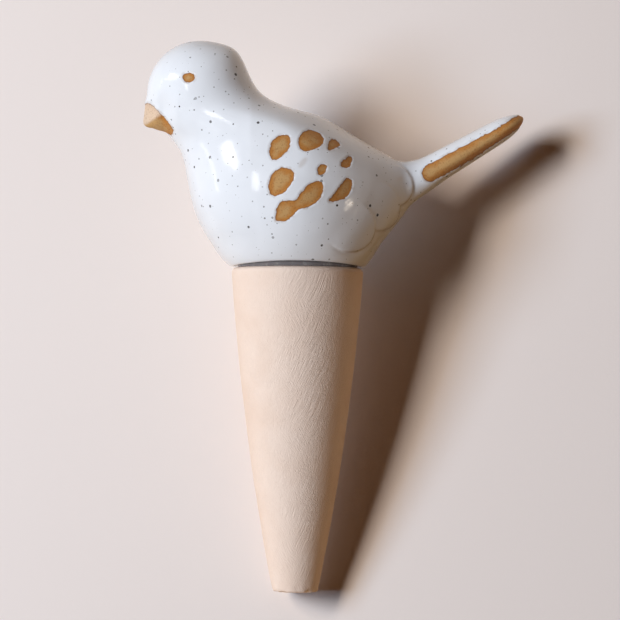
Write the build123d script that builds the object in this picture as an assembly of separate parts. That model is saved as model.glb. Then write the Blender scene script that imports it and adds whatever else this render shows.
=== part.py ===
from build123d import *

import os
from math import cos, pi, radians, sin, sqrt

# Self watering plant spike. A hollow glazed bird holds the water, a soft hollow stopper joins it to a
# porous clay spike, and the spike lets the water out into the soil.
#
# Millimetres, with +Z up along the spike's axis. The origin is the centre of the spike's mouth, on its rim.
# The bird looks along -X and its tail points along +X. Each piece is its own mirror image in the XZ plane.

# Clay spike
SPIKE_LENGTH = 99.0
RIM_RADIUS = 20.3
TIP_RADIUS = 6.9
FLANK_BULGE = 1.6  # how far the flank stands out from a straight cone, at half its length
SPIKE_WALL = 4.0
TIP_FLOOR = 8.0  # clay under the water at the tip
MOUTH_WALL = 5.8  # clay round the straight mouth, at the rim
MOUTH_DEPTH = 16.0
RIM_ROUND = 1.6
MOUTH_ROUND = 0.8
TIP_ROUND = 0.7
CAVITY_ROUND = 2.0

# Soft stopper
FLANGE_SETBACK = 1.9  # how far the ring that shows lies inside the spike's rim
FLANGE_THICKNESS = 1.8
FLANGE_ROUND = 0.5
NECK_WALL = 3.0  # round the water way, where the stopper passes the bird's foot
PLUG_END_GAP = 3.0  # room between the plug and the foot of the mouth
PLUG_TAPER = 1.5  # the chamfer that leads the plug into the mouth
RIB_COUNT = 3
RIB_HEIGHT = 1.0
RIB_THICKNESS = 1.4
LIP_OVERHANG = 1.1  # how far the lip reaches past the hole in the bird's foot
LIP_THICKNESS = 2.2
LIP_TAPER = 1.0
FIT_CLEARANCE = 0.08  # radial room of the stopper in the mouth and in the foot's hole
LIP_CLEARANCE = 0.1  # room between the lip and the foot's floor

# Bird: foot and walls
FOOT_OVERHANG = 0.2  # how far the foot stands out over the spike's rim
FOOT_LEDGE = 8.0  # clay round the hole in the foot
FOOT_FLOOR = 4.0
BIRD_WALL = 3.6

# Bird: side view. Forward is from the axis towards the beak, and heights are above the foot
BELLY_FRONT = 28.1
BELLY_FRONT_HEIGHT = 7.8
BREAST_FORWARD = 33.4
BREAST_HEIGHT = 21.5
THROAT_FORWARD = 38.8
THROAT_DROP = 13.4  # each drop is below the head's centre
BELLY_BACK = 29.3
BELLY_BACK_HEIGHT = 10.6
RUMP_BACK = 36.4
RUMP_RISE = 12.9  # each rise is above the point before it
LOWER_BACK = 21.0
LOWER_BACK_RISE = 13.1
UPPER_BACK = 2.0
UPPER_BACK_RISE = 9.8
NAPE_FORWARD = 9.3
NAPE_RISE = 3.6
HEAD_RISE = 1.6
HEAD_FORWARD = 30.5
HEAD_RADIUS = 16.2
HEAD_TURN = 25.0  # degrees above level, where the nape runs into the round of the head

# Bird: half breadths, how far forward each level is broadest, and how the flanks come together behind
BELLY_BREADTH = 27.0
BELLY_HEIGHT = 17.0
BELLY_FORWARD = 0.5
SHOULDER_BREADTH = 23.3
SHOULDER_FORWARD = 0.5
NECK_BREADTH = 17.4
NECK_FORWARD = 20.5
NECK_DROP = 6.6
HEAD_BREADTH = 16.0
ROUND_FULLNESS = 0.5523  # share of its reach over which a quarter ellipse holds its direction
FLANK_FULLNESS = 0.5  # the same for the flanks, where they leave the broadest place
RUMP_FULLNESS = 0.25  # the same for the rump, and less is more pointed

# Bird: tail, measured along its slope from the rump
TAIL_ANGLE = 30.5
TAIL_RISE = 2.3  # of the tail's middle line over the rump
TAIL_REACH = 38.0
TAIL_ROOT_DEPTH = 9.0  # how far its root reaches into the rump
TAIL_ROOT_THICKNESS = 10.0
TAIL_END_THICKNESS = 6.6
TAIL_CROWN_SHARE = 0.62  # share of the thickness that lies above its broadest line
TAIL_FLARE = 0.5  # how much deeper it is at the rump
TAIL_FLARE_LENGTH = 7.5
TAIL_ROOT_BREADTH = 13.0
TAIL_END_BREADTH = 16.0
TAIL_END_ROUND = 10.0  # length of the rounded end

# Bird: beak, placed by turns below level round the head's centre
BEAK_UPPER_TURN = 12.4
BEAK_LOWER_TURN = 57.0
BEAK_TIP_TURN = 27.0
BEAK_REACH = 2.8  # of its tip past the round of the head
BEAK_SINK = 0.8  # of its root under the round of the head
BEAK_BREADTH = 9.6
BEAK_BLUNTNESS = 0.75  # 1 is a sharp cone, and less is rounder

# How finely the freeform shapes are drawn
LEVELS = 28
TAIL_STATIONS = 16
BEAK_STATIONS = 8

# Worked out from the sizes above
MOUTH_RADIUS = RIM_RADIUS - MOUTH_WALL
FLANGE_RADIUS = RIM_RADIUS - FLANGE_SETBACK
FOOT_RADIUS = RIM_RADIUS + FOOT_OVERHANG
FOOT_HOLE_RADIUS = FOOT_RADIUS - FOOT_LEDGE
NECK_RADIUS = FOOT_HOLE_RADIUS - FIT_CLEARANCE
WATER_WAY_RADIUS = NECK_RADIUS - NECK_WALL
RIB_RADIUS = MOUTH_RADIUS - FIT_CLEARANCE
PLUG_RADIUS = RIB_RADIUS - RIB_HEIGHT
PLUG_LENGTH = MOUTH_DEPTH - PLUG_END_GAP
BIRD_SEAT = FLANGE_THICKNESS  # height of the foot above the rim
RUMP_HEIGHT = BELLY_BACK_HEIGHT + RUMP_RISE
LOWER_BACK_HEIGHT = RUMP_HEIGHT + LOWER_BACK_RISE
UPPER_BACK_HEIGHT = LOWER_BACK_HEIGHT + UPPER_BACK_RISE
NAPE_HEIGHT = UPPER_BACK_HEIGHT + NAPE_RISE
HEAD_HEIGHT = NAPE_HEIGHT + HEAD_RISE
CROWN_HEIGHT = HEAD_HEIGHT + HEAD_RADIUS
SHOULDER_HEIGHT = (BELLY_HEIGHT + HEAD_HEIGHT) / 2


def round_of_head(height):
    """How wide the ball of the head is at a height, as a share of its widest."""
    return sqrt(max(0, 1 - ((height - HEAD_HEIGHT) / HEAD_RADIUS) ** 2))


def rising_line(points, start, end):
    """A smooth line through (x, z) points, with its directions at both ends."""
    return Spline(
        [Vector(x, 0, z) for x, z in points],
        tangents=[Vector(start[0], 0, start[1]), Vector(end[0], 0, end[1])],
    )


def x_at(line, height):
    """The x of a rising line at a height, by halving."""
    low, high = 0.0, 1.0
    for _ in range(40):
        middle = (low + high) / 2
        if (line @ middle).Z < height:
            low = middle
        else:
            high = middle
    return (line @ low).X


def front_line():
    """Foot, belly, breast and throat, up to the face."""
    return rising_line(
        [
            (-FOOT_RADIUS, 0),
            (-BELLY_FRONT, BELLY_FRONT_HEIGHT),
            (-BREAST_FORWARD, BREAST_HEIGHT),
            (-THROAT_FORWARD, HEAD_HEIGHT - THROAT_DROP),
            (-HEAD_FORWARD - HEAD_RADIUS, HEAD_HEIGHT),
        ],
        start=(-1.5, 1),
        end=(0, 1),
    )


def back_line():
    """Foot, belly, rump, back and nape, up to the back of the head."""
    turn = radians(HEAD_TURN)
    return rising_line(
        [
            (FOOT_RADIUS, 0),
            (BELLY_BACK, BELLY_BACK_HEIGHT),
            (RUMP_BACK, RUMP_HEIGHT),
            (LOWER_BACK, LOWER_BACK_HEIGHT),
            (UPPER_BACK, UPPER_BACK_HEIGHT),
            (-NAPE_FORWARD, NAPE_HEIGHT),
            (-HEAD_FORWARD + HEAD_RADIUS * cos(turn), HEAD_HEIGHT + HEAD_RADIUS * sin(turn)),
        ],
        start=(1, 1),
        end=(-sin(turn), cos(turn)),
    )


def breadth_line():
    """Half the bird's breadth, from the foot up to the middle of the head."""
    return rising_line(
        [
            (FOOT_RADIUS, 0),
            (BELLY_BREADTH, BELLY_HEIGHT),
            (SHOULDER_BREADTH, SHOULDER_HEIGHT),
            (NECK_BREADTH, HEAD_HEIGHT - NECK_DROP),
            (HEAD_BREADTH, HEAD_HEIGHT),
        ],
        start=(1, 1),
        end=(0, 1),
    )


def middle_line():
    """Where each level is broadest, from the foot up to the middle of the head."""
    return rising_line(
        [
            (0, 0),
            (-BELLY_FORWARD, BELLY_HEIGHT),
            (-SHOULDER_FORWARD, SHOULDER_HEIGHT),
            (-NECK_FORWARD, HEAD_HEIGHT - NECK_DROP),
            (-HEAD_FORWARD, HEAD_HEIGHT),
        ],
        start=(0, 1),
        end=(0, 1),
    )


def fullness_line(fullness):
    """The fullness at each level, from round at the foot back to round at the head."""
    return rising_line(
        [
            (ROUND_FULLNESS, 0),
            (fullness, BELLY_HEIGHT),
            (fullness, SHOULDER_HEIGHT),
            (ROUND_FULLNESS, HEAD_HEIGHT),
        ],
        start=(0, 1),
        end=(0, 1),
    )


def eased(count):
    """Shares from 0 up to, but not including, 1, closest together at both ends."""
    return [(1 - cos(pi * step / count)) / 2 for step in range(count)]


def level_outline(height, front, middle, back, breadth, flank, rump):
    """One level of the bird seen from above: half an ellipse ahead of its broadest place, a taper behind."""
    ahead = EllipticalCenterArc((middle, 0), middle - front, breadth, 90, arc_size=180)
    turn = middle + (back - middle) * flank
    right = Bezier((middle, -breadth), (turn, -breadth), (back, -breadth * rump), (back, 0))
    left = Bezier((back, 0), (back, breadth * rump), (turn, breadth), (middle, breadth))
    return Pos(0, 0, height) * Wire([ahead, right, left])


def bird_form(wall, floor):
    """The bird without tail and beak, drawn in by a wall all round and raised by a floor at the foot."""
    front_edge, middle_edge = front_line(), middle_line()
    back_edge, breadth_edge = back_line(), breadth_line()
    flank_edge, rump_edge = fullness_line(FLANK_FULLNESS), fullness_line(RUMP_FULLNESS)
    back_top = (back_edge @ 1).Z
    squeeze = (CROWN_HEIGHT - wall - floor) / CROWN_HEIGHT
    sections = []
    for share in eased(LEVELS):
        height = CROWN_HEIGHT * share
        ball = round_of_head(height)
        in_head = height > HEAD_HEIGHT
        front = -HEAD_FORWARD - HEAD_RADIUS * ball if in_head else x_at(front_edge, height)
        middle = -HEAD_FORWARD if in_head else x_at(middle_edge, height)
        breadth = HEAD_BREADTH * ball if in_head else x_at(breadth_edge, height)
        back = -HEAD_FORWARD + HEAD_RADIUS * ball if height > back_top else x_at(back_edge, height)
        flank = ROUND_FULLNESS if in_head else x_at(flank_edge, height)
        rump = ROUND_FULLNESS if in_head else x_at(rump_edge, height)
        if breadth > 2 * wall:
            level = floor + height * squeeze
            reach = (front + wall, middle, back - wall, breadth - wall)
            sections.append(level_outline(level, *reach, flank, rump))
    return Solid.make_loft([*sections, Vertex(-HEAD_FORWARD, 0, CROWN_HEIGHT - wall)])


def tail():
    """A flat tail that rises out of the rump: arched above, flatter below, and round at its end."""
    along = Vector(cos(radians(TAIL_ANGLE)), 0, sin(radians(TAIL_ANGLE)))
    upward = Vector(-along.Z, 0, along.X)
    rump = Vector(RUMP_BACK, 0, RUMP_HEIGHT + TAIL_RISE)
    straight = TAIL_REACH - TAIL_END_ROUND

    def section(reach):
        """Two half ellipses on one broadest line, at a reach from the rump."""
        share = reach / TAIL_REACH
        thickness = TAIL_ROOT_THICKNESS + (TAIL_END_THICKNESS - TAIL_ROOT_THICKNESS) * share
        breadth = TAIL_ROOT_BREADTH + (TAIL_END_BREADTH - TAIL_ROOT_BREADTH) * share
        flare = TAIL_FLARE * max(0, 1 - reach / TAIL_FLARE_LENGTH)
        dome = sqrt(1 - (max(0, reach - straight) / TAIL_END_ROUND) ** 2)
        above = thickness * TAIL_CROWN_SHARE
        below = thickness - above + flare
        broadest = rump + along * reach + upward * (thickness / 2 - above) * dome
        plane = Plane(origin=broadest, x_dir=(0, 1, 0), z_dir=along)
        arch = EllipticalCenterArc((0, 0), breadth / 2 * dome, above * dome, 0, arc_size=180)
        keel = EllipticalCenterArc((0, 0), breadth / 2 * dome, below * dome, 180, arc_size=180)
        return plane * Wire([arch, keel])

    length = TAIL_ROOT_DEPTH + TAIL_REACH
    sections = [section(length * share - TAIL_ROOT_DEPTH) for share in eased(TAIL_STATIONS)]
    return Solid.make_loft([*sections, Vertex(*(rump + along * TAIL_REACH))])


def beak():
    """A short blunt beak that leans down, with its root inside the face."""

    def on_head(turn, radius):
        """A point of the side view at a turn below level round the head's centre."""
        turn = radians(turn)
        return Vector(-HEAD_FORWARD - radius * cos(turn), 0, HEAD_HEIGHT - radius * sin(turn))

    top = on_head(BEAK_UPPER_TURN, HEAD_RADIUS - BEAK_SINK)
    foot = on_head(BEAK_LOWER_TURN, HEAD_RADIUS - BEAK_SINK)
    tip = on_head(BEAK_TIP_TURN, HEAD_RADIUS + BEAK_REACH)
    face = (top + foot) / 2
    root = face - (tip - face)
    up = (top - foot).normalized()
    outward = Vector(0, 1, 0).cross(up) * -1
    swell = 2**BEAK_BLUNTNESS  # the root is this much larger than the beak is where it leaves the face

    def section(share):
        """An ellipse on the way from the root, at 0, to the tip, at 1."""
        size = swell * (1 - share) ** BEAK_BLUNTNESS
        plane = Plane(origin=root + (tip - root) * share, x_dir=(0, 1, 0), z_dir=outward)
        return (plane * Ellipse(size * BEAK_BREADTH / 2, size * (top - foot).length / 2)).wire()

    sections = [section(share) for share in eased(BEAK_STATIONS)]
    return Solid.make_loft([*sections, Vertex(*tip)])


def bird_body():
    """One hollow casting: body, head, tail and beak, with the hole in its foot that it is filled through."""
    outside = bird_form(wall=0, floor=0) + tail() + beak()
    hole = Pos(0, 0, FOOT_FLOOR / 2) * Cylinder(FOOT_HOLE_RADIUS, 2 * FOOT_FLOOR)
    return Pos(0, 0, BIRD_SEAT) * (outside - bird_form(BIRD_WALL, FOOT_FLOOR) - hole)


def stopper():
    """A hollow bung: a ribbed plug below, a flange that shows, and a neck with a lip that grips the foot."""
    lip_foot = BIRD_SEAT + FOOT_FLOOR + LIP_CLEARANCE
    lip_top = lip_foot + LIP_THICKNESS
    lip_radius = FOOT_HOLE_RADIUS + LIP_OVERHANG
    outline = [
        (WATER_WAY_RADIUS, lip_top),
        (lip_radius - LIP_TAPER, lip_top),
        (lip_radius, lip_foot + LIP_THICKNESS / 2),
        (lip_radius, lip_foot),
        (NECK_RADIUS, lip_foot),
        (NECK_RADIUS, FLANGE_THICKNESS),
        (FLANGE_RADIUS, FLANGE_THICKNESS),
        (FLANGE_RADIUS, 0),
        (PLUG_RADIUS, 0),
    ]
    pitch = (PLUG_LENGTH - PLUG_TAPER) / (RIB_COUNT + 1)
    for rib in range(1, RIB_COUNT + 1):
        depth = rib * pitch
        outline += [
            (PLUG_RADIUS, RIB_THICKNESS / 2 - depth),
            (RIB_RADIUS, RIB_THICKNESS / 4 - depth),
            (RIB_RADIUS, -RIB_THICKNESS / 4 - depth),
            (PLUG_RADIUS, -RIB_THICKNESS / 2 - depth),
        ]
    outline += [
        (PLUG_RADIUS, PLUG_TAPER - PLUG_LENGTH),
        (PLUG_RADIUS - PLUG_TAPER, -PLUG_LENGTH),
        (WATER_WAY_RADIUS, -PLUG_LENGTH),
    ]
    bung = revolve(Plane.XZ * make_face(Polyline(outline, close=True)), Axis.Z)
    rings = circles_at(bung, FLANGE_RADIUS, 0) + circles_at(bung, FLANGE_RADIUS, FLANGE_THICKNESS)
    return fillet(rings, FLANGE_ROUND)


def circles_at(piece, radius, height):
    """The round edges of a piece that have a radius and lie at a height."""
    circles = piece.edges().filter_by(GeomType.CIRCLE)
    return [e for e in circles if abs(e.radius - radius) < 1e-4 and abs(e.center().Z - height) < 1e-4]


def spike():
    """A hollow clay ogive with a straight mouth for the stopper and a blunt closed tip."""
    flank = SagittaArc((RIM_RADIUS, 0), (TIP_RADIUS, -SPIKE_LENGTH), FLANK_BULGE)
    centre = flank.arc_center
    floor_height = TIP_FLOOR - SPIKE_LENGTH

    def inside(height):
        """The inside of the wall at a height, parallel to the flank."""
        return Vector(centre.X + sqrt((flank.radius - SPIKE_WALL) ** 2 - (height - centre.Y) ** 2), height)

    outline = [
        flank,
        Polyline((TIP_RADIUS, -SPIKE_LENGTH), (0, -SPIKE_LENGTH), (0, 0), (RIM_RADIUS, 0)),
    ]
    wall_top, wall_foot = inside(-MOUTH_DEPTH), inside(floor_height)
    well_outline = [
        ThreePointArc(wall_top, inside((floor_height - MOUTH_DEPTH) / 2), wall_foot),
        Polyline(wall_foot, (0, floor_height), (0, -MOUTH_DEPTH), wall_top),
    ]
    well = revolve(Plane.XZ * make_face(well_outline), Axis.Z)
    mouth = Pos(0, 0, -MOUTH_DEPTH / 2) * Cylinder(MOUTH_RADIUS, MOUTH_DEPTH)
    clay = revolve(Plane.XZ * make_face(outline), Axis.Z) - well - mouth
    clay = fillet(circles_at(clay, RIM_RADIUS, 0), RIM_ROUND)
    clay = fillet(circles_at(clay, MOUTH_RADIUS, 0), MOUTH_ROUND)
    clay = fillet(circles_at(clay, TIP_RADIUS, -SPIKE_LENGTH), TIP_ROUND)
    return fillet(circles_at(clay, wall_foot.X, floor_height), CAVITY_ROUND)


os.makedirs("parts", exist_ok=True)
for name, piece in {"bird_body": bird_body(), "stopper": stopper(), "spike": spike()}.items():
    export_step(piece, f"parts/{name}.step")
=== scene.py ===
# %% [markdown]
# # A self watering spike with a stoneware bird
# The object has three pieces: a glazed bird that holds the water, a bare clay spike that lets the water
# seep into the soil, and a soft grey stopper that joins them. The solid model of the three is loaded first
# and stays fixed. Every mesh below is modelled around it, in metres, in the same place.

from math import radians

import bpy
import numpy as np
from mathutils import Euler, Matrix, Vector, noise


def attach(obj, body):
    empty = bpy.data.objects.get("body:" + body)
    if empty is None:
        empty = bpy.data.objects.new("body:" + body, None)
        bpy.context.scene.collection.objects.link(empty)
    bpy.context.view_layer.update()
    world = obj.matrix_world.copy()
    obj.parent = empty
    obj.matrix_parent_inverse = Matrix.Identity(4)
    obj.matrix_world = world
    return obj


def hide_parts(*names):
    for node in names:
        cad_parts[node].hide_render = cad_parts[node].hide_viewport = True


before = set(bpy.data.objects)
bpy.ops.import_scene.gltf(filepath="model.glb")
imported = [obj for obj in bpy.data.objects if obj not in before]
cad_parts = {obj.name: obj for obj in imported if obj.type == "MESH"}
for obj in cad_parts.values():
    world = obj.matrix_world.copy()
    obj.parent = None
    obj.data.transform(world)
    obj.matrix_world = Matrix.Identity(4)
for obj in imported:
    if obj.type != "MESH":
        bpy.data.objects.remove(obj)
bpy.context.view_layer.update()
MM = 0.001
scene = bpy.context.scene
scene.view_settings.view_transform = "Standard"

# %% [markdown]
# ## Camera
# The photograph was taken straight down on the object as it lay on a pale board, from far away and with a
# long lens, so there is little perspective. Here the spike stays upright, so the camera looks at it from
# the front, along +Y, and the board stands behind it. A lens length follows from the distance and from how
# much the picture takes in.

# %% Set up the camera
VIEW_DISTANCE = 800 * MM
VIEW_WIDTH = 190.3 * MM  # what the square picture takes in at the object
VIEW_TARGET = Vector((3.9, 0, -12.9)) * MM
VIEW_RISE = radians(1.2)  # the lens looks slightly upwards
VIEW_ROLL = radians(0.45)

lens = bpy.data.cameras.new("camera")
lens.lens = lens.sensor_width * VIEW_DISTANCE / VIEW_WIDTH
lens.clip_start = 10 * MM
camera = bpy.data.objects.new("camera", lens)
turn = Euler((radians(90) + VIEW_RISE, 0, 0)).to_matrix() @ Euler((0, 0, VIEW_ROLL)).to_matrix()
camera.matrix_world = Matrix.Translation(VIEW_TARGET + turn @ Vector((0, 0, VIEW_DISTANCE))) @ turn.to_4x4()
scene.collection.objects.link(camera)
scene.camera = camera
print("lens", round(lens.lens, 1), "mm, camera at", tuple(round(v / MM) for v in camera.location), "mm")

# %% [markdown]
# ## A short way to write materials
# A material is a graph of nodes. Each call of the first helper adds one node. What it is given for an input
# is either a plain value, which is set on the socket itself, or the output of another node, which is
# linked. The others add the few kinds of node that come up again and again. The Mix node has separate
# sockets for numbers and for colours, so they are picked by their place.

# %% Helpers for node materials
def add(tree, kind, inputs=None, **settings):
    """Adds one node to a material and returns it."""
    made = tree.nodes.new("ShaderNode" + kind)
    for name, value in settings.items():
        setattr(made, name, value)
    for name, value in (inputs or {}).items():
        if isinstance(value, bpy.types.NodeSocket):
            tree.links.new(value, made.inputs[name])
        else:
            made.inputs[name].default_value = value
    return made


def new_material(name):
    """A material with its tree and its one shader."""
    material = bpy.data.materials.new(name)
    material.use_nodes = True
    return material, material.node_tree, material.node_tree.nodes["Principled BSDF"]


def ramp(tree, value, low, high, start=0.0, end=1.0):
    """Goes smoothly from start to end as value goes from low to high."""
    inputs = {"Value": value, "From Min": low, "From Max": high, "To Min": start, "To Max": end}
    return add(tree, "MapRange", inputs, interpolation_type="SMOOTHSTEP").outputs["Result"]


def combine(tree, operation, first, second=0.0):
    """One operation on two numbers, such as MULTIPLY."""
    return add(tree, "Math", {0: first, 1: second}, operation=operation).outputs[0]


def mix(tree, share, first, second):
    """Blends two colours by a share."""
    return add(tree, "Mix", {0: share, 6: first, 7: second}, data_type="RGBA").outputs[2]


def mix_numbers(tree, share, first, second):
    """Blends two numbers by a share."""
    return add(tree, "Mix", {0: share, 2: first, 3: second}).outputs[0]


def grain(tree, place, size, detail=3.0, roughness=0.55):
    """Soft random grey, between about 0.2 and 0.8, with patches of about this size."""
    inputs = {"Vector": place, "Scale": 1 / size, "Detail": detail, "Roughness": roughness}
    return add(tree, "TexNoise", inputs).outputs[0]


print("helpers:", [made.__name__ for made in (add, new_material, ramp, combine, mix, mix_numbers, grain)])

# %% [markdown]
# ## The board it lies on
# A pale, slightly rosy board with a matt surface. The object lay on it on the bird's flank and the spike's
# tip, with the tail nearest to it, as the shadow's breadth shows. So the board faces a little to one side,
# and it stands a hair behind the point of the solids that reaches furthest back. It isn't part of the
# object, so it is stage.

# %% Make the board
BOARD_BACK = Vector((0.31, 1.0, -0.205)).normalized()
BOARD_HALF = 600 * MM
BOARD_GAP = 0.2 * MM
BOARD_CORNERS = ((-1, -1), (1, -1), (1, 1), (-1, 1))

solids = [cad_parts[name] for name in ("bird_body", "spike")]
reach = max(BOARD_BACK.dot(point.co) for solid in solids for point in solid.data.vertices) + BOARD_GAP
sideways = BOARD_BACK.cross((0, 0, 1)).normalized()
upwards = sideways.cross(BOARD_BACK)
middle = BOARD_BACK * reach
corners = [middle + (sideways * x + upwards * z) * BOARD_HALF for x, z in BOARD_CORNERS]
board_mesh = bpy.data.meshes.new("board")
board_mesh.from_pydata(corners, [], [(0, 1, 2, 3)])
board = bpy.data.objects.new("board", board_mesh)
scene.collection.objects.link(board)
print("board is", round(reach / MM, 1), "mm from the rim's middle")

# %% [markdown]
# ## The board's finish
# The board has a faint tooth. What it throws back at the object is much warmer than it looks, which gives
# the object's shaded side its brown glow, and Light Path's Is Diffuse Ray tells the two apart. Seen from
# behind, the board would hide the object and keep the light off it. So its back is clear, it casts no
# shadow, and its edges fade out into the room.

# %% Make the matt board
PALE_BOARD = (0.80, 0.76, 0.765, 1)
WARM_BOUNCE = (0.72, 0.47, 0.23, 1)

material, tree, shader = new_material("matt_board")
place = add(tree, "TexCoord").outputs["Object"]
path = add(tree, "LightPath")
seen_as = mix(tree, path.outputs["Is Diffuse Ray"], PALE_BOARD, WARM_BOUNCE)
tree.links.new(seen_as, shader.inputs["Base Color"])
shader.inputs["Roughness"].default_value = 0.9
shader.inputs["Specular IOR Level"].default_value = 0.1
tooth = grain(tree, place, 0.9 * MM, detail=4)
bump = add(tree, "Bump", {"Strength": 0.25, "Distance": 0.1 * MM, "Height": tooth})
tree.links.new(bump.outputs[0], shader.inputs["Normal"])

away = add(tree, "VectorMath", {0: place, 1: middle}, operation="DISTANCE").outputs["Value"]
fade = ramp(tree, away, 0.5 * BOARD_HALF, 0.95 * BOARD_HALF)
clear = combine(tree, "MAXIMUM", fade, add(tree, "NewGeometry").outputs["Backfacing"])
clear = combine(tree, "MAXIMUM", clear, path.outputs["Is Shadow Ray"])
see_through = add(tree, "BsdfTransparent")
both = add(tree, "MixShader", {0: clear, 1: shader.outputs[0], 2: see_through.outputs[0]})
tree.links.new(both.outputs[0], tree.nodes["Material Output"].inputs["Surface"])
board.data.materials.append(material)
print("matt board:", len(tree.nodes), "nodes")

# %% [markdown]
# ## Light
# A broad window on the left gives the object its soft shade. It isn't mirrored in the glaze: three panes
# with sharper edges are, and they make the highlights. A weak ceiling lifts the crown and the back, a small
# warm lamp on the right makes the glint on the wing, and the lamp behind helps only the views from behind,
# as the board lets it through. The board has two lamps of its own, a cool one far to the side and a warm
# one nearer to the viewer. Together they are white, but the edge of the shadow sees mostly the warm one,
# so it turns brown. Each lamp is a rectangle that reaches from one direction to another, seen from the
# bird.

# %% Place the lamps
DAYLIGHT = (1.0, 1.0, 1.0)
SKY_SIDE = (0.80, 1.0, 1.20)
SUNNY_SIDE = (1.17, 1.0, 0.83)
WARM_BULB = (1.0, 0.86, 0.7)
NEAR, FAR = 1.5, 3.0  # metres from the bird


def lamp(name, one_end, other_end, breadth, power, colour=DAYLIGHT, distance=NEAR, mirrored=True):
    """A rectangular lamp that shines at the bird and reaches from one direction to another."""
    one_end, other_end = (Vector(end).normalized() * distance for end in (one_end, other_end))
    light = bpy.data.lights.new(name, "AREA")
    light.shape = "RECTANGLE"
    light.size, light.size_y = (other_end - one_end).length, breadth
    light.energy = power
    light.color = colour
    placed = bpy.data.objects.new(name, light)
    along = (other_end - one_end).normalized()
    away = (one_end + other_end).normalized()
    placed.matrix_world = Matrix((along, away.cross(along), away)).transposed().to_4x4()
    placed.location = away * distance
    placed.visible_glossy = mirrored
    scene.collection.objects.link(placed)
    return placed


board_lamps = (
    lamp("board_sky", (-0.945, -0.33, 0.12), (-0.82, -0.55, 0.12), 0.75, 12.7, SKY_SIDE),
    lamp("board_sun", (-0.82, -0.55, 0.32), (-0.69, -0.72, 0.32), 0.75, 12.7, SUNNY_SIDE),
)
object_lamps = (
    lamp("window", (-0.87, -0.49, -0.06), (-0.60, -0.80, -0.04), 0.7, 21.9, mirrored=False),
    lamp("broad_pane", (-0.91, -0.41, 0.42), (-0.91, -0.41, 0.60), 0.42, 2.0),
    lamp("slim_pane", (-0.60, -0.80, 0.16), (-0.60, -0.80, 0.48), 0.15, 1.2),
    lamp("far_pane", (-0.99, -0.12, 0.0), (-0.99, -0.12, 0.45), 0.06, 0.5),
    lamp("ceiling", (-0.3, -0.45, 0.9), (0.3, -0.45, 0.88), 0.8, 3.6, mirrored=False),
    lamp("small_lamp", (0.87, -0.48, -0.083), (0.905, -0.41, -0.063), 0.06, 0.40, WARM_BULB),
    lamp("room_behind", (-0.15, 1.0, 0.02), (0.15, 1.0, 0.02), 0.9, 24.0, distance=FAR),
)
print("lamps:", [placed.name for placed in board_lamps + object_lamps])

# %% [markdown]
# ## Which lamp lights what, and the room
# Light linking gives each lamp a collection of what it lights. The board's two lamps get a collection with
# only the board. The others get one that leaves the board out and so lights all the rest. The room's own
# glow is weak and warm, and fills the shadow with brown. Where the camera or a mirroring surface looks past
# the board, the room shows as pale as the board.

# %% Link the lamps and set the room
ROOM_GLOW = (1.0, 0.36, 0.08, 1)
ROOM_SEEN = (0.765, 0.685, 0.655, 1)

only_board = bpy.data.collections.new("only_board")
only_board.objects.link(board)
for placed in board_lamps:
    placed.light_linking.receiver_collection = only_board
all_but_board = bpy.data.collections.new("all_but_board")
all_but_board.objects.link(board)
all_but_board.collection_objects[0].light_linking.link_state = "EXCLUDE"
for placed in object_lamps:
    placed.light_linking.receiver_collection = all_but_board

world = bpy.data.worlds.new("room")
world.use_nodes = True
scene.world = world
tree = world.node_tree
path = add(tree, "LightPath")
seen = combine(tree, "MAXIMUM", path.outputs["Is Camera Ray"], path.outputs["Is Glossy Ray"])
seen = combine(tree, "MAXIMUM", seen, path.outputs["Is Transmission Ray"])
glow = add(tree, "Background", {"Color": ROOM_GLOW, "Strength": 0.05})
pale = add(tree, "Background", {"Color": ROOM_SEEN, "Strength": 1.0})
both = add(tree, "MixShader", {0: seen, 1: glow.outputs[0], 2: pale.outputs[0]})
tree.links.new(both.outputs[0], tree.nodes["World Output"].inputs["Surface"])
print("lamps on the board:", len(board_lamps), "and on the object:", len(object_lamps))

# %% [markdown]
# ## An even mesh to work on
# The solid model's own triangles are long and thin, which is poor to sculpt on. The Remesh modifier wraps
# the same shape in small even quads. After that, every detail is a small move of points, worked out for all
# points at once with arrays. Arrays hold millimetres here, which are easier to think in.

# %% Copy a solid into an even mesh
def even_copy(node, name, quad):
    """A new piece in the shape of a solid, wrapped in quads of this size in millimetres."""
    piece = bpy.data.objects.new(name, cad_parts[node].data.copy())
    scene.collection.objects.link(piece)
    wrap = piece.modifiers.new("even quads", "REMESH")
    wrap.mode = "VOXEL"
    wrap.voxel_size = quad * MM
    made = bpy.data.meshes.new_from_object(piece.evaluated_get(bpy.context.evaluated_depsgraph_get()))
    made.name = name
    piece.modifiers.clear()
    piece.data = made
    made.materials.clear()
    made.shade_smooth()
    return piece


bird = even_copy("bird_body", "stoneware_bird", quad=0.4)
print("bird:", len(bird.data.vertices), "points")

# %% [markdown]
# ## Reading, moving and smoothing points
# A voxel wrap leaves faint steps. Moving each point towards the middle of its neighbours, a few times over,
# takes them out. With a share for each point, the same helper later smooths only where it is wanted.

# %% Helpers for points
def points_of(piece):
    """The points of a mesh in millimetres, one row each."""
    flat = np.empty(len(piece.data.vertices) * 3)
    piece.data.vertices.foreach_get("co", flat)
    return flat.reshape(-1, 3) / MM


def move_points(piece, points):
    """Puts the points of a mesh where an array says."""
    piece.data.vertices.foreach_set("co", (points * MM).ravel())
    piece.data.update()


def normals_of(piece):
    """The direction that each point faces."""
    flat = np.empty(len(piece.data.vertices) * 3)
    piece.data.vertex_normals.foreach_get("vector", flat)
    return flat.reshape(-1, 3)


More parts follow.
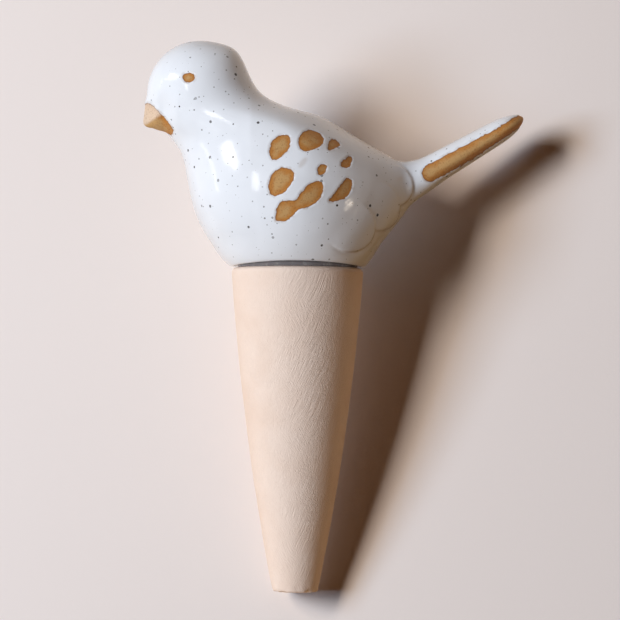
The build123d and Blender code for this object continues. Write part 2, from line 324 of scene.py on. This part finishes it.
def relax(piece, rounds, share=1.0):
    """Smooths a mesh by moving each point, by a share from 0 to 1, towards the middle of its neighbours."""
    ends = np.empty(len(piece.data.edges) * 2, int)
    piece.data.edges.foreach_get("vertices", ends)
    tails, heads = np.concatenate([ends[0::2], ends[1::2]]), np.concatenate([ends[1::2], ends[0::2]])
    points = points_of(piece)
    count = len(points)
    neighbours = np.bincount(tails, minlength=count)[:, None]
    weight = np.broadcast_to(np.asarray(share, float), (count,))[:, None]
    for _ in range(rounds):
        sums = np.stack([np.bincount(tails, points[heads, axis], count) for axis in range(3)], axis=1)
        points = points + 0.5 * weight * (sums / neighbours - points)
    move_points(piece, points)


def step(low, high, value):
    """0 on the low side, 1 on the high side, and smooth between."""
    share = np.clip((value - low) / (high - low), 0, 1)
    return share * share * (3 - 2 * share)


def bell(value, middle, width):
    """1 at the middle, and fading to 0 over about twice the width."""
    return np.exp(-(((value - middle) / width) ** 2))


before = points_of(bird)
relax(bird, rounds=4)
print("smoothing moved points by up to", round(float(np.abs(points_of(bird) - before).max()), 2), "mm")

# %% [markdown]
# ## The bird's form
# The bird was cast in a mould, so nothing on it is sharp. The tail grows out of the rump in a soft hollow,
# and the head runs into the breast over a smooth neck. Many rounds of smoothing give both, limited to a
# band on each side of a line in the side view.

# %% Soften the tail's root and the neck
TAIL_ROOT = (32.6, 33.0), (36.0, 20.5)  # both ends of a line, x and z
TAIL_ROOT_BAND = 4.0
NECK = (-38.0, 41.0), (-10.0, 49.0)
NECK_BAND = 6.0


def from_stroke(points, start, end, start_radius=0.0, end_radius=0.0):
    """Distance, in the side view, from the outline of a straight stroke with round ends."""
    side = points[:, [0, 2]]
    start, way = np.array(start), np.array(end) - np.array(start)
    share = np.clip((side - start) @ way / max(way @ way, 1e-9), 0, 1)
    radius = start_radius + (end_radius - start_radius) * share
    return np.linalg.norm(side - start - share[:, None] * way, axis=1) - radius


before = points_of(bird)
relax(bird, rounds=160, share=bell(from_stroke(before, *TAIL_ROOT), 0, TAIL_ROOT_BAND))
relax(bird, rounds=120, share=bell(from_stroke(before, *NECK), 0, NECK_BAND))
print("tail's root and neck moved by up to", round(float(np.abs(points_of(bird) - before).max()), 2), "mm")

# %% [markdown]
# ## The head and the outline
# The head is narrower than it is high and egg-shaped seen from above, with the blunt end at the back: the
# way the highlights lie on it shows that. Scaling the breadth by a factor that changes slowly with height
# keeps the neck free of creases. Then a few soft pushes in the side view bring the outline closer.

# %% Shape the head
HEAD_MIDDLE = -30.5
HEAD_RADIUS = 16.2
HEAD_FLATNESS = 0.88  # breadth of the head, as a share of the solid's
HEAD_EGG = 0.13  # how much broader than that the back of the head is
HEAD_FRONT = -0.6  # ahead of this share of the radius, the breadth stays the same
HEAD_RISE = (20, 48)  # heights between which the solid's breadth becomes the head's
PUSHES = (  # place in the side view, how far round it, and the move there
    ((-46.5, 49.0), 2.4, (-1.1, 0.2)),  # fuller top of the beak
    ((-46.8, 44.3), 3.0, (-0.5, -0.9)),  # its dropped corner
    ((-43.5, 42.3), 2.5, (0.0, -0.6)),  # its lower edge
    ((-38.0, 38.5), 3.0, (-0.9, 0.0)),  # fuller throat
    ((-20.5, 66.5), 5.0, (0.8, 0.7)),  # rounder back of the crown
    ((33.5, 31.0), 4.0, (0.0, 1.3)),  # shallower hollow ahead of the tail
)

points = points_of(bird)
backwards = np.clip((points[:, 0] - HEAD_MIDDLE) / HEAD_RADIUS, HEAD_FRONT, 1)
head_breadth = HEAD_FLATNESS * (1 + HEAD_EGG * backwards)
points[:, 1] *= 1 + step(*HEAD_RISE, points[:, 2]) * (head_breadth - 1)
for spot, spread, push in PUSHES:
    points[:, [0, 2]] += np.outer(bell(from_stroke(points, spot, spot), 0, spread), push)
move_points(bird, points)
print("head is", round(2 * points[points[:, 2] > HEAD_RISE[1], 1].max(), 1), "mm broad")

# %% [markdown]
# ## The wiped foot
# The foot was wiped by hand before firing. It comes down over the grey ring at the breast and under the
# tail, and stands clear of it at both flanks, so the drop depends on the way round.

# %% Shape the foot
FOOT_HEIGHT = 1.8  # of the solid's foot above the spike's rim
FOOT_BLEND = 7  # the height over which the drop fades out
FOOT_SMOOTHED = (5, 8)  # heights between which the smoothing of the foot ends
RING_RADIUS = 18.4
DROP_START, DROP_FULL = 0.2, 1.2  # how far outside the ring the drop starts and is full
FLANK_DROP = 0.4
END_DROP = 1.25  # how much more than that it drops at the breast and under the tail

points = points_of(bird)
radius = np.hypot(points[:, 0], points[:, 1])
lengthways = np.abs(points[:, 0]) / np.maximum(radius, 1e-6)
drop = FLANK_DROP + END_DROP * lengthways**2
drop *= step(RING_RADIUS + DROP_START, RING_RADIUS + DROP_FULL, radius)
points[:, 2] -= drop * (1 - step(FOOT_HEIGHT, FOOT_HEIGHT + FOOT_BLEND, points[:, 2]))
move_points(bird, points)
relax(bird, rounds=6, share=1 - step(*FOOT_SMOOTHED, points[:, 2]))
print("foot's lowest point", round(points_of(bird)[:, 2].min(), 2), "mm above the rim")

# %% [markdown]
# ## Folded wings
# The wings are low relief: three long feathers that lie over each other and end in round tips towards the
# tail. Each feather is a broad stroke in the side view, from its tip to the shoulder. It is highest at the
# tip and sinks into the body ahead of it. Where feathers overlap the highest wins, and a fine groove runs
# along the outer edge. How near each point is to that edge is kept for the finish.

# %% Raise the wings
FEATHER_TIPS = (((28.6, 25.0), 6.4), ((23.6, 18.4), 7.4), ((15.6, 12.1), 7.7))  # middle and radius of each
SHOULDER = (-6.0, 29.0)
FEATHER_HEIGHT = 0.5
FEATHER_FADE = 5.0
FEATHER_EDGE = 0.4  # half the breadth of its soft edge
GROOVE_DEPTH, GROOVE_PLACE, GROOVE_BREADTH = 0.15, 0.6, 0.6  # the place is how far outside the edge it runs
RIM_BREADTH = 0.7
OUTSIDE_FACING = (0.02, 0.25)  # how far sideways a point has to face to lie on the outside of a wing

points, normals = points_of(bird), normals_of(bird)
outside = step(*OUTSIDE_FACING, normals[:, 1] * np.sign(points[:, 1]))
height, fading = np.zeros(len(points)), np.zeros(len(points))
nearest_edge = np.full(len(points), 99.0)
for tip, size in FEATHER_TIPS:
    edge = from_stroke(points, tip, SHOULDER, size, size)
    way = np.subtract(SHOULDER, tip)
    ahead = (points[:, [0, 2]] - tip) @ (way / np.hypot(*way))
    fade = 1 - step(-FEATHER_FADE, 0.5 * FEATHER_FADE, ahead)
    height = np.maximum(height, FEATHER_HEIGHT * fade * (1 - step(-FEATHER_EDGE, FEATHER_EDGE, edge)))
    fading = np.where(np.abs(edge) < np.abs(nearest_edge), fade, fading)
    nearest_edge = np.minimum(nearest_edge, edge)
height -= GROOVE_DEPTH * fading * bell(nearest_edge, GROOVE_PLACE, GROOVE_BREADTH)
wing_rim = fading * bell(nearest_edge, 0.0, RIM_BREADTH) * outside
move_points(bird, points + normals * (height * outside)[:, None])
print("wing feathers:", len(FEATHER_TIPS), "on each side, up to", round(float(height.max()), 2), "mm high")

# %% [markdown]
# ## Marks seen from the side
# Before glazing, the maker touches the bird with wax: brush dabs on the wings, the eyes, the beak and a
# long stroke down each side of the tail. Glaze runs off the wax, so these places stay bare. Each touch is
# an oval, a stroke or a closed outline in the side view, and the same on both sides of the bird. Two more
# helpers measure how far each point is from one, below 0 inside it.

# %% Helpers that measure from a mark
CUT_NEAR, CUT_FAR = 0.82, 0.18  # shares of a corner and of the next one, where the cut meets their side


def from_oval(points, x, z, half_length, half_breadth, tilt):
    """Distance, in the side view, from the outline of a tilted oval."""
    turned = radians(tilt)
    dx, dz = points[:, 0] - x, points[:, 2] - z
    along = dx * np.cos(turned) + dz * np.sin(turned)
    across = dz * np.cos(turned) - dx * np.sin(turned)
    size = np.hypot(along / half_length, across / half_breadth)
    slope = np.hypot(along / half_length**2, across / half_breadth**2)
    return size * (size - 1) / np.maximum(slope, 1e-6)


def from_outline(points, corners):
    """Distance, in the side view, from a closed outline with its corners cut."""
    corners = np.array(corners)
    following = np.roll(corners, -1, axis=0)
    after = CUT_NEAR * corners + CUT_FAR * following
    ahead_of = CUT_FAR * corners + CUT_NEAR * following
    cut = np.stack([after, ahead_of], axis=1).reshape(-1, 2)
    nearest, inside = np.full(len(points), 99.0), np.zeros(len(points), bool)
    for (x, z), (next_x, next_z) in zip(cut, np.roll(cut, -1, axis=0)):
        nearest = np.minimum(nearest, from_stroke(points, (x, z), (next_x, next_z)))
        crossed = (points[:, 2] < z) != (points[:, 2] < next_z)
        edge = x + (next_x - x) * (points[:, 2] - z) / ((next_z - z) or 1e-9)
        inside ^= crossed & (points[:, 0] < edge)
    return np.where(inside, -nearest, nearest)


print("helpers:", from_stroke.__name__, from_oval.__name__, from_outline.__name__)

# %% [markdown]
# ## Where the clay shows
# Every point of the mesh gets its distance from the nearest mark, with a little noise so that no edge is
# drawn with a ruler. The marks are kept to the flanks, apart from the beak and the tail's end, which they
# run round. Bare places lie lower than the glaze round them by its thickness, and the glaze swells a
# little at its edge. The finish uses the same distance later.

# %% Mark the bare places
WING_DABS = (  # the corners of each dab's outline, x and z
    ((-5.4, 38.8), (-3.2, 38.7), (-2.5, 37.3), (-3.1, 34.5), (-4.9, 32.9), (-6.3, 31.5), (-7.9, 31.6),
     (-8.4, 33.2), (-7.7, 37.0)),
    ((3.4, 40.7), (6.0, 40.0), (7.4, 38.3), (7.4, 36.6), (4.6, 34.8), (2.0, 34.1), (0.3, 35.5), (0.3, 37.6),
     (1.8, 40.2)),
    ((10.4, 38.4), (12.5, 36.6), (10.9, 35.5), (9.1, 34.6), (9.2, 36.6)),
    ((15.8, 33.0), (16.0, 31.4), (14.9, 29.7), (13.0, 29.8), (13.2, 31.2)),
    ((7.5, 30.1), (8.6, 29.4), (7.8, 27.6), (6.2, 27.0), (6.0, 28.8)),
    ((-4.6, 28.8), (-1.9, 28.0), (-1.2, 26.9), (-2.4, 23.8), (-4.2, 21.6), (-7.5, 20.3), (-8.7, 23.1),
     (-7.8, 26.4), (-6.3, 28.0)),
    ((6.0, 24.9), (7.2, 24.2), (7.3, 22.1), (6.5, 19.9), (3.3, 17.3), (0.3, 17.0), (-3.1, 13.2), (-5.2, 13.0),
     (-6.5, 13.5), (-5.9, 16.6), (-4.7, 18.6), (-0.2, 18.7), (1.1, 21.2), (3.1, 23.5)),
    ((14.9, 26.1), (16.1, 25.2), (15.9, 22.9), (14.1, 20.2), (11.0, 19.2), (9.3, 19.2), (11.0, 20.8),
     (12.4, 23.1)),
)
BEAK = ((-46.1, 49.9), (-43.1, 47.5), (-41.9, 46.1), (-40.4, 44.2), (-38.4, 41.2), (-38.8, 40.5), (-53, 40.5),
        (-53, 49.5), (-47.4, 49.7))
WAX_SPREAD = 0.3  # how far the wax ran out beyond those corners
EYE = (-33.3, 56.9, 1.95, 1.5, -8)  # middle, half length and breadth, and tilt
TAIL_STROKES = (  # from x, z, to x, z, and the half breadth at both ends
    ((40.3, 29.1), (51.2, 35.0), 2.7, 2.5),
    ((51.2, 35.0), (61.2, 41.1), 2.5, 1.9),
    ((61.2, 41.1), (70.0, 47.0), 1.9, 1.9),
)
EDGE_NOISE = ((0.2, 2.2), (0.16, 0.8))  # depth and size of an edge's wanderings, coarse and fine
EDGE_BAND = 1.5  # how far from an edge they reach
FLANK_FACING = 0.15  # how far sideways a point has to face to count as flank
FLANK_END = 3.0  # how soon a mark ends where the surface turns away
TAIL_END, TAIL_END_GIVE = (65.5, 68.0), 4.0  # where a mark runs round the tail's end, and how freely
BEAK_ROOT, BEAK_GIVE = (-40, -42), 9.0  # and the same for the beak
GLAZE_THICKNESS, GLAZE_EDGE = 0.24, 0.3  # and half the breadth of its soft edge
GLAZE_SWELL = 0.02

points, normals = points_of(bird), normals_of(bird)
bare = np.minimum(9.0, from_oval(points, *EYE))
for outline in WING_DABS + (BEAK,):
    bare = np.minimum(bare, from_outline(points, outline) - WAX_SPREAD)
for stroke in TAIL_STROKES:
    bare = np.minimum(bare, from_stroke(points, *stroke))
for index in np.flatnonzero(np.abs(bare) < EDGE_BAND):
    spot = Vector(points[index])
    bare[index] += sum(depth * noise.noise(spot / size) for depth, size in EDGE_NOISE)
past_flank = FLANK_END * (FLANK_FACING - normals[:, 1] * np.sign(points[:, 1]))
past_flank -= TAIL_END_GIVE * step(*TAIL_END, points[:, 0])
past_flank -= BEAK_GIVE * step(*BEAK_ROOT, points[:, 0])
bare = np.maximum(bare, past_flank)

sink = -GLAZE_THICKNESS * (1 - step(-GLAZE_EDGE, GLAZE_EDGE, bare)) + GLAZE_SWELL * bell(bare, 0.6, 0.4)
move_points(bird, points + normals * sink[:, None])
print("bare points:", int((bare < 0).sum()), "of", len(points))

# %% [markdown]
# ## The beak
# A soft ridge runs down each side of the beak, so its upper face catches the light and its lower face lies
# in shade. Points near the ridge line move outwards, most on the line itself, which leaves a crease there.
# Seen from the front, a bird's beak is a slim wedge, so its breadth is taken in, most at the tip.

# %% Shape the beak
RIDGE = ((-41.5, 46.4), (-47.0, 43.6))
RIDGE_HEIGHT = 1.1
RIDGE_REACH = 3.2
RIDGE_START = (-41, -43.5)  # the x between which it rises out of the face
BEAK_START, BEAK_TIP = (-36.5, -42), (-43, -47.5)  # the x between which the beak and its tip begin
BEAK_UNDERSIDE, BEAK_BROW = (36, 42), (47, 55)  # the heights between which it ends below and above
BEAK_SLIM = 0.2  # share of its breadth that the whole beak loses
BEAK_TAPER = 0.4  # and how much more its tip loses

points, normals = points_of(bird), normals_of(bird)
near_ridge = from_stroke(points, *RIDGE)
lift = RIDGE_HEIGHT * np.clip(1 - near_ridge / RIDGE_REACH, 0, 1) * step(*RIDGE_START, points[:, 0])
lift *= step(0.2, 0.6, normals[:, 1] * np.sign(points[:, 1]))
points += normals * lift[:, None]
on_beak = step(*BEAK_START, points[:, 0]) * step(*BEAK_UNDERSIDE, points[:, 2])
on_beak *= 1 - step(*BEAK_BROW, points[:, 2])
points[:, 1] *= 1 - on_beak * (BEAK_SLIM + BEAK_TAPER * step(*BEAK_TIP, points[:, 0]))
move_points(bird, points)
relax(bird, rounds=4, share=on_beak)
print("ridge points:", int((lift > 0).sum()), "beak points:", int((on_beak > 0).sum()))

# %% [markdown]
# ## Keeping the marks with the mesh
# A finish can read a number that is stored at each point. Four are stored: the distance from the bare
# places, the edges of the feathers, the beak's upper face, where painted light makes it paler, and one more
# dab that the glaze closed over and that shows only as a faint stain.

# %% Store the marks and place the bird
FAINT_DAB = (1.4, 30.4, 1.9, 0.9, 53)

way = np.subtract(RIDGE[1], RIDGE[0])
along_ridge = way / np.hypot(*way)
above_ridge = (points[:, [0, 2]] - RIDGE[0]) @ (along_ridge[1], -along_ridge[0])
# Painted light: the beak's upper face above the ridge, which the finish paints paler.
painted_lit_beak_top = step(-0.6, 0.6, above_ridge) * step(-40.5, -42.5, points[:, 0])
faint_dab = (1 - step(-0.7, 0.5, from_oval(points, *FAINT_DAB))) * outside
marks = {"bare": bare, "wing_rim": wing_rim, "painted_lit_beak_top": painted_lit_beak_top, "faint_dab": faint_dab}
for name, values in marks.items():
    kept = bird.data.attributes.new(name, "FLOAT", "POINT")
    kept.data.foreach_set("value", values.astype(np.float32))
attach(bird, "bird")
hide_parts("bird_body")
print("stored:", sorted(marks))

# %% [markdown]
# ## Brown clay
# One material holds clay and glaze. The stored distance from the marks, made ragged with a little noise,
# says where the glaze ends. The bare clay is a toasted tan: paler towards the middle of a mark, where the
# wax was wiped, warm near its edge, and darkest on the very rim, partly toasted clay where the glaze ends
# and partly painted shade along the step of the glaze. The beak's upper face is painted paler again, as
# painted light where it catches the light.

# %% Make the brown clay
LIGHT_CLAY = (0.475, 0.295, 0.125, 1)
WARM_CLAY = (0.42, 0.182, 0.042, 1)
# Dark clay for the pits, and for the rim of a mark, where it is partly toasted and partly painted shade along
# the step of the glaze.
TOASTED_CLAY_AND_SHADE = (0.16, 0.062, 0.017, 1)
# Painted light: a paler clay for the beak's upper face, where it catches the light.
PAINTED_LIT_BEAK_CLAY = (0.70, 0.57, 0.46, 1)

material, tree, shader = new_material("glazed_stoneware")
place = add(tree, "TexCoord").outputs["Object"]
distance = add(tree, "Attribute", attribute_name="bare").outputs["Fac"]
ragged = combine(tree, "MULTIPLY", combine(tree, "SUBTRACT", grain(tree, place, 0.9 * MM), 0.5), 0.6)
distance = combine(tree, "ADD", distance, ragged)
is_bare = ramp(tree, distance, -0.1, 0.12, 1.0, 0.0)

worn = combine(tree, "SUBTRACT", distance, combine(tree, "MULTIPLY", grain(tree, place, 2.5 * MM), 4.0))
clay = mix(tree, ramp(tree, worn, -4.4, -2.2), LIGHT_CLAY, WARM_CLAY)
# Painted light on the beak's upper face.
painted_lit_share = add(tree, "Attribute", attribute_name="painted_lit_beak_top").outputs["Fac"]
clay = mix(tree, combine(tree, "MULTIPLY", painted_lit_share, 0.85), clay, PAINTED_LIT_BEAK_CLAY)
# The rim of a mark: partly toasted clay, partly painted shade along the step of the glaze.
clay = mix(tree, ramp(tree, distance, -0.38, 0.04, 0.0, 0.85), clay, TOASTED_CLAY_AND_SHADE)
pits = ramp(tree, grain(tree, place, 0.5 * MM), 0.5, 0.75, 0.0, 0.5)
clay = mix(tree, pits, clay, TOASTED_CLAY_AND_SHADE)
print("brown clay:", len(tree.nodes), "nodes")

# %% [markdown]
# ## White glaze
# The glaze is a bluish white with soft greyer clouds. Where it breaks over an edge it is thin, and the
# brown clay shows through: in patches along the feathers, round the bare places, and over the closed dab.

# %% Make the white glaze
WHITE_GLAZE = (0.755, 0.82, 0.915, 1)
GREY_GLAZE = (0.71, 0.77, 0.86, 1)
BROKEN_GLAZE = (0.36, 0.27, 0.20, 1)

glaze = mix(tree, ramp(tree, grain(tree, place, 14 * MM, detail=2), 0.35, 0.7), WHITE_GLAZE, GREY_GLAZE)
rim = add(tree, "Attribute", attribute_name="wing_rim").outputs["Fac"]
rim = combine(tree, "MULTIPLY", rim, ramp(tree, grain(tree, place, 4 * MM), 0.3, 0.65, 0.05, 0.42))
glaze = mix(tree, rim, glaze, BROKEN_GLAZE)
faint = add(tree, "Attribute", attribute_name="faint_dab").outputs["Fac"]
glaze = mix(tree, combine(tree, "MULTIPLY", faint, 0.3), glaze, BROKEN_GLAZE)
thin = ramp(tree, grain(tree, place, 2 * MM), 0.35, 0.7)
stain = combine(tree, "MULTIPLY", ramp(tree, distance, 0.0, 0.9, 0.5, 0.0), thin)
glaze = mix(tree, stain, glaze, BROKEN_GLAZE)
print("clay and glaze:", len(tree.nodes), "nodes")

# %% [markdown]
# ## Iron specks
# Grains of iron in the clay melt into the glaze as dark specks. A Voronoi texture puts one point in each
# cell of a random grid, and every cell has a random colour, which serves here as its two dice: one for the
# speck's size and one for how dark it is. A high power makes most specks small and a few large.

# %% Scatter the specks
IRON_SPECK = (0.022, 0.019, 0.02, 1)


def specks(cell, small, large, strength):
    """Round specks, one in each cell of a random grid, of random size: mostly small and a few large."""
    cells = add(tree, "TexVoronoi", {"Vector": place, "Scale": 1 / cell})
    chance = add(tree, "SeparateColor", {0: cells.outputs["Color"]})
    size = combine(tree, "POWER", chance.outputs[0], 4.0)
    size = ramp(tree, size, 0.0, 1.0, small / cell, large / cell)
    shown = combine(tree, "LESS_THAN", cells.outputs["Distance"], size)
    darkness = ramp(tree, chance.outputs[1], 0.0, 1.0, 0.5 * strength, strength)
    return combine(tree, "MULTIPLY", shown, darkness)


glaze = mix(tree, specks(2.4 * MM, 0.12 * MM, 0.5 * MM, 1.0), glaze, IRON_SPECK)
glaze = mix(tree, specks(1.5 * MM, 0.06 * MM, 0.28 * MM, 0.7), glaze, IRON_SPECK)
print("with specks:", len(tree.nodes), "nodes")

# %% [markdown]
# ## Gloss and surface
# The glaze is glossy and only faintly uneven, because it flowed. The clay is matt and gritty. Both the
# roughness and the bump change over from one to the other where the glaze ends.

# %% Finish the glazed stoneware
GLAZE_ROUGHNESS, CLAY_ROUGHNESS = 0.13, 0.62

tree.links.new(mix(tree, is_bare, glaze, clay), shader.inputs["Base Color"])
tree.links.new(ramp(tree, is_bare, 0.0, 1.0, GLAZE_ROUGHNESS, CLAY_ROUGHNESS), shader.inputs["Roughness"])
shader.inputs["Specular IOR Level"].default_value = 0.55
flowed = combine(tree, "MULTIPLY", grain(tree, place, 5 * MM, detail=2), 0.35)
surface = mix_numbers(tree, is_bare, flowed, grain(tree, place, 0.45 * MM))
bump = add(tree, "Bump", {"Strength": 0.3, "Distance": 0.25 * MM, "Height": surface})
tree.links.new(bump.outputs[0], shader.inputs["Normal"])
bird.data.materials.append(material)
print("glazed stoneware:", len(tree.nodes), "nodes")

# %% [markdown]
# ## The clay spike
# The spike is unglazed so that water can pass through it. While the clay was leather hard, it was scraped
# and wiped, which left leaning streaks, the soft dents of a hand and a slightly ragged tip. Noise moves
# these into the mesh, on the outside only, and the finest streaks are left to the finish.

# %% Make the spike
STREAK_LEAN = radians(24)
STREAK_DEPTH, STREAK_BREADTH, STREAK_LENGTH = 0.03, 1.0, 14
HAND_DEPTH, HAND_BREADTH, HAND_LENGTH = 0.08, 11, 17
NICK_DEPTH, NICK_SIZE = 0.35, 1.6
NICK_TOP, NICK_FULL = -96.5, 2.5  # nicks start at this height and are full this far below it
TIP_TOP = -95  # below this height the closed end is worn too

spike = even_copy("spike", "clay_spike", quad=0.4)
relax(spike, rounds=3)
points, normals = points_of(spike), normals_of(spike)
across = points[:, 0] * np.cos(STREAK_LEAN) - points[:, 2] * np.sin(STREAK_LEAN)
along = points[:, 0] * np.sin(STREAK_LEAN) + points[:, 2] * np.cos(STREAK_LEAN)
outward = (normals[:, :2] * points[:, :2]).sum(1) / np.hypot(points[:, 0], points[:, 1])
wear = np.zeros(len(points))
for index in np.flatnonzero((outward > 0.3) | (points[:, 2] < TIP_TOP)):
    x, y, z = points[index]
    drawn_out = Vector((across[index] / STREAK_BREADTH, y / STREAK_BREADTH, along[index] / STREAK_LENGTH))
    streak = noise.noise(drawn_out)
    hand = noise.noise(Vector((x / HAND_BREADTH, y / HAND_BREADTH, z / HAND_LENGTH)))
    nick = noise.noise(Vector((x / NICK_SIZE, y / NICK_SIZE, z / NICK_SIZE)))
    nick *= max(0.0, (NICK_TOP - z) / NICK_FULL)
    wear[index] = STREAK_DEPTH * streak + HAND_DEPTH * hand + NICK_DEPTH * nick
move_points(spike, points + normals * wear[:, None])
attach(spike, "spike")
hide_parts("spike")
print("spike:", len(points), "points, worn by up to", round(float(np.abs(wear).max()), 2), "mm")

# %% [markdown]
# ## Scraped streaks
# The streaks come from noise that is stretched along the scraping direction, so they need no unwrapping. A
# slow bend of the space keeps them from being straight. A second set, leaning the other way, shows only in
# patches, where the tool chattered.

# %% Draw the streaks
CROSS_LEAN = radians(28)

material, tree, shader = new_material("bare_clay")
place = add(tree, "TexCoord").outputs["Object"]
bend = add(tree, "TexNoise", {"Vector": place, "Scale": 1 / (16 * MM), "Detail": 1.0}).outputs["Color"]
bend = add(tree, "VectorMath", {0: bend, "Scale": 4 * MM}, operation="SCALE").outputs[0]
bent = add(tree, "VectorMath", {0: place, 1: bend}, operation="ADD").outputs[0]


def streaks(lean, breadth, length):
    """Noise drawn out into streaks that lean by an angle from upright, seen from the front."""
    turned = add(tree, "Mapping", {"Vector": bent, "Rotation": (0, lean, 0)}).outputs[0]
    inputs = {"Vector": turned, "Scale": (1 / breadth, 1 / breadth, 1 / length)}
    drawn = add(tree, "Mapping", inputs).outputs[0]
    return add(tree, "TexNoise", {"Vector": drawn, "Scale": 1.0, "Detail": 3.0, "Roughness": 0.6}).outputs[0]


scraped = streaks(-STREAK_LEAN, 0.3 * MM, 7 * MM)
crossed = streaks(CROSS_LEAN, 0.3 * MM, 3 * MM)
patches = ramp(tree, grain(tree, place, 12 * MM, detail=1), 0.46, 0.62)
worked = mix_numbers(tree, patches, scraped, crossed)
print("streaks:", len(tree.nodes), "nodes")

# %% [markdown]
# ## Bare clay
# Pale peach clay with a soft rosy mottle, slightly rosier in the streaks too, and a few dark grains. It is
# quite matt, and the streaks stand out mostly through the bump.

# %% Make the bare clay
PALE_CLAY = (0.81, 0.695, 0.63, 1)
ROSY_CLAY = (0.78, 0.65, 0.575, 1)
DARK_CLAY = (0.48, 0.34, 0.26, 1)

clay = mix(tree, ramp(tree, grain(tree, place, 14 * MM), 0.35, 0.72), PALE_CLAY, ROSY_CLAY)
clay = mix(tree, ramp(tree, worked, 0.32, 0.48, 0.3, 0.0), clay, ROSY_CLAY)
clay = mix(tree, ramp(tree, grain(tree, place, 0.35 * MM), 0.62, 0.8, 0.0, 0.25), clay, DARK_CLAY)
tree.links.new(clay, shader.inputs["Base Color"])
shader.inputs["Roughness"].default_value = 0.88
shader.inputs["Specular IOR Level"].default_value = 0.25
grit = combine(tree, "MULTIPLY", grain(tree, place, 0.3 * MM), 0.3)
surface = combine(tree, "ADD", worked, grit)
bump = add(tree, "Bump", {"Strength": 0.95, "Distance": 0.22 * MM, "Height": surface})
tree.links.new(bump.outputs[0], shader.inputs["Normal"])
spike.data.materials.append(material)
print("bare clay:", len(tree.nodes), "nodes")

# %% [markdown]
# ## The soft stopper
# A grey moulded stopper grips the bird's foot and plugs the spike. Only its thin ring shows until it is
# lifted. Soft rubber has no sharp edges, so a fine even copy is smoothed a little. The lower edge of the
# ring is pressed down on the clay rim by the bird's weight, which closes the gap there.

# %% Make the stopper
LIP_RADII = (17.2, 17.8)  # the lip starts between these
LIP_HEIGHTS = (0.3, 1.1)  # and its push fades out between these
LIP_PUSH = 0.3

stopper = even_copy("stopper", "soft_stopper", quad=0.3)
relax(stopper, rounds=3)
points = points_of(stopper)
lip = step(*LIP_RADII, np.hypot(points[:, 0], points[:, 1])) * (1 - step(*LIP_HEIGHTS, points[:, 2]))
points[:, 2] -= LIP_PUSH * lip
move_points(stopper, points)
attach(stopper, "stopper")
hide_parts("stopper")
print("stopper:", len(stopper.data.vertices), "points")

# %% [markdown]
# ## Grey silicone
# A dark milky grey that lets a little light in under its surface, with a satin shine and faint dust, which
# is paler and duller.

# %% Make the silicone
GREY = (0.13, 0.127, 0.138, 1)
DUSTY_GREY = (0.20, 0.195, 0.205, 1)

material, tree, shader = new_material("grey_silicone")
place = add(tree, "TexCoord").outputs["Object"]
dust = ramp(tree, grain(tree, place, 2.5 * MM), 0.45, 0.75)
tree.links.new(mix(tree, dust, GREY, DUSTY_GREY), shader.inputs["Base Color"])
tree.links.new(ramp(tree, dust, 0.0, 1.0, 0.16, 0.34), shader.inputs["Roughness"])
shader.inputs["Subsurface Weight"].default_value = 0.15
shader.inputs["Subsurface Scale"].default_value = 1.5 * MM
bump = add(tree, "Bump", {"Strength": 0.1, "Distance": 0.1 * MM, "Height": grain(tree, place, 0.6 * MM)})
tree.links.new(bump.outputs[0], shader.inputs["Normal"])
stopper.data.materials.append(material)
print("grey silicone:", len(tree.nodes), "nodes")
